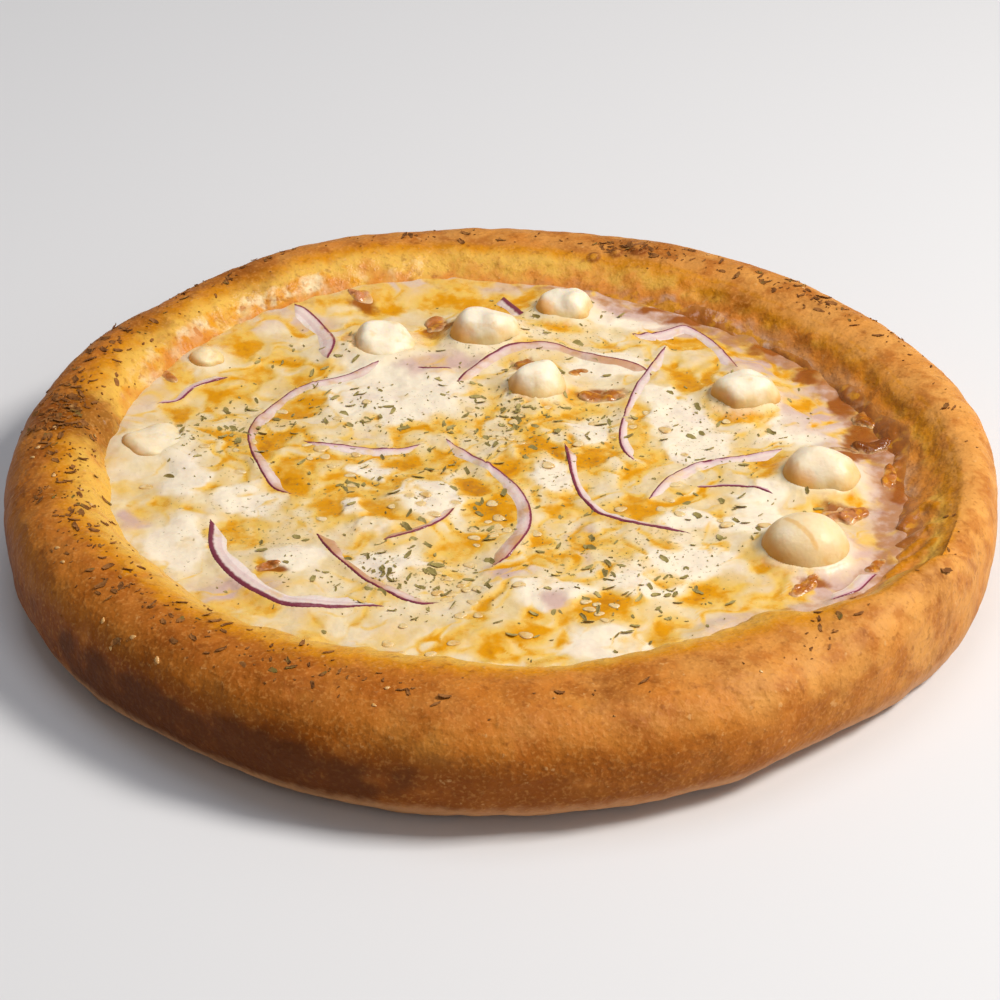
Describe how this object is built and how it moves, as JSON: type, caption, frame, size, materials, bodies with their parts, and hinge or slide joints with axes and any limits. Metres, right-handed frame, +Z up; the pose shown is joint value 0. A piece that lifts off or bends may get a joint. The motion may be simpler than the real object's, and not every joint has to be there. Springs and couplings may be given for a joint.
{
  "type": "thick crust pizza",
  "caption": "Round thick-crust pizza with tomato sauce, melted cheese, mozzarella balls, red onion strips, browned bits and dried herbs.",
  "frame": {"origin": "middle of the flat underside", "axes": "+Z up out of the topping, +X to the right and -Y towards the viewer in the picture"},
  "size_m": [0.3, 0.3, 0.0379],
  "materials": {
    "baked_dough": "golden-brown baked dough with a soft sheen, herb flakes fused to it",
    "tomato_sauce": "wet cooked tomato sauce, orange-red and glossy",
    "melted_cheese": "melted cheese, cream with yellow and orange oil, glossy, herb flakes and seeds fused to it",
    "mozzarella": "half-melted mozzarella, smooth, cream and slightly translucent",
    "bacon": "browned bits, crisp and oily",
    "red_onion": "cooked red onion, pale lilac flesh with a purple skin edge"
  },
  "bodies": {
    "root": {"crust": "baked_dough", "tomato_sauce": "tomato_sauce", "melted_cheese": "melted_cheese", "mozzarella_ball_1": "mozzarella", "mozzarella_ball_2": "mozzarella", "mozzarella_ball_3": "mozzarella", "mozzarella_ball_4": "mozzarella", "mozzarella_ball_5": "mozzarella", "mozzarella_ball_6": "mozzarella", "mozzarella_ball_7": "mozzarella", "mozzarella_ball_8": "mozzarella", "mozzarella_ball_9": "mozzarella", "bacon_bit_1": "bacon", "bacon_bit_2": "bacon", "bacon_bit_3": "bacon", "bacon_bit_4": "bacon", "bacon_bit_5": "bacon", "bacon_bit_6": "bacon", "bacon_bit_7": "bacon", "bacon_bit_8": "bacon", "bacon_bit_9": "bacon", "bacon_bit_10": "bacon", "bacon_bit_11": "bacon", "bacon_bit_12": "bacon", "bacon_bit_13": "bacon", "bacon_bit_14": "bacon", "bacon_bit_15": "bacon", "onion_strip_1": "red_onion", "onion_strip_2": "red_onion", "onion_strip_3": "red_onion", "onion_strip_4": "red_onion", "onion_strip_5": "red_onion", "onion_strip_6": "red_onion", "onion_strip_7": "red_onion", "onion_strip_8": "red_onion", "onion_strip_9": "red_onion", "onion_strip_10": "red_onion", "onion_strip_11": "red_onion", "onion_strip_12": "red_onion", "onion_strip_13": "red_onion", "onion_strip_14": "red_onion", "onion_strip_15": "red_onion", "onion_strip_16": "red_onion", "onion_strip_17": "red_onion"}
  },
  "joints": []
}
